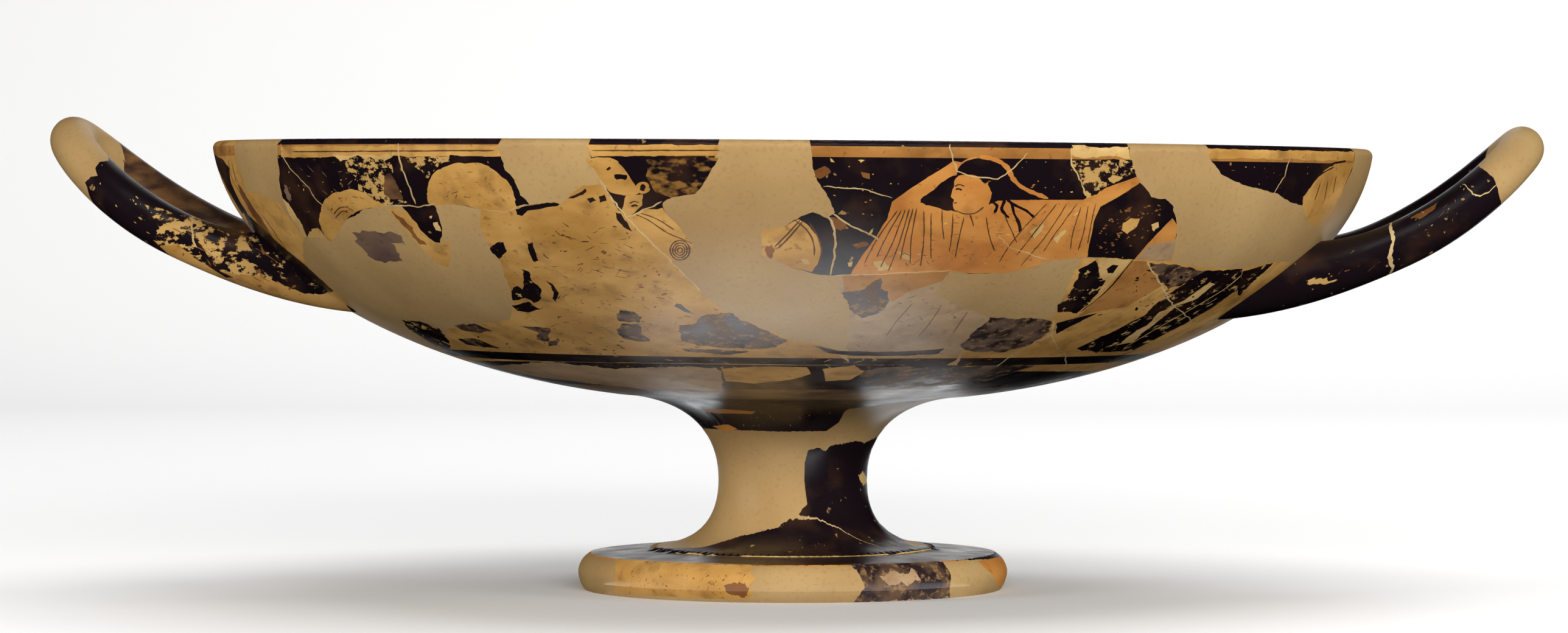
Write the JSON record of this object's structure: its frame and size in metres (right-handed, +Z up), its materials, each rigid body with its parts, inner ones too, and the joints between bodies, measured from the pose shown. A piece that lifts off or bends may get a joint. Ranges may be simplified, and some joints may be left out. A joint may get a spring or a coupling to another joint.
{
  "type": "kylix cup",
  "caption": "Shallow wide drinking cup of fired clay on a short flared stem and disc foot, with a pair of upswept loop handles.",
  "frame": {"origin": "centre of the ring that the foot rests on", "axes": "+Z up along the stem, +X through the handles towards the lower side of the bowl, -Y towards the front of the painted side that is shown"},
  "size_m": [0.4138, 0.3196, 0.1309],
  "materials": {
    "painted_clay": "satin fired clay with black gloss slip, worn, and tan plaster fills"
  },
  "bodies": {
    "root": {"kylix_cup": "painted_clay"}
  },
  "joints": []
}
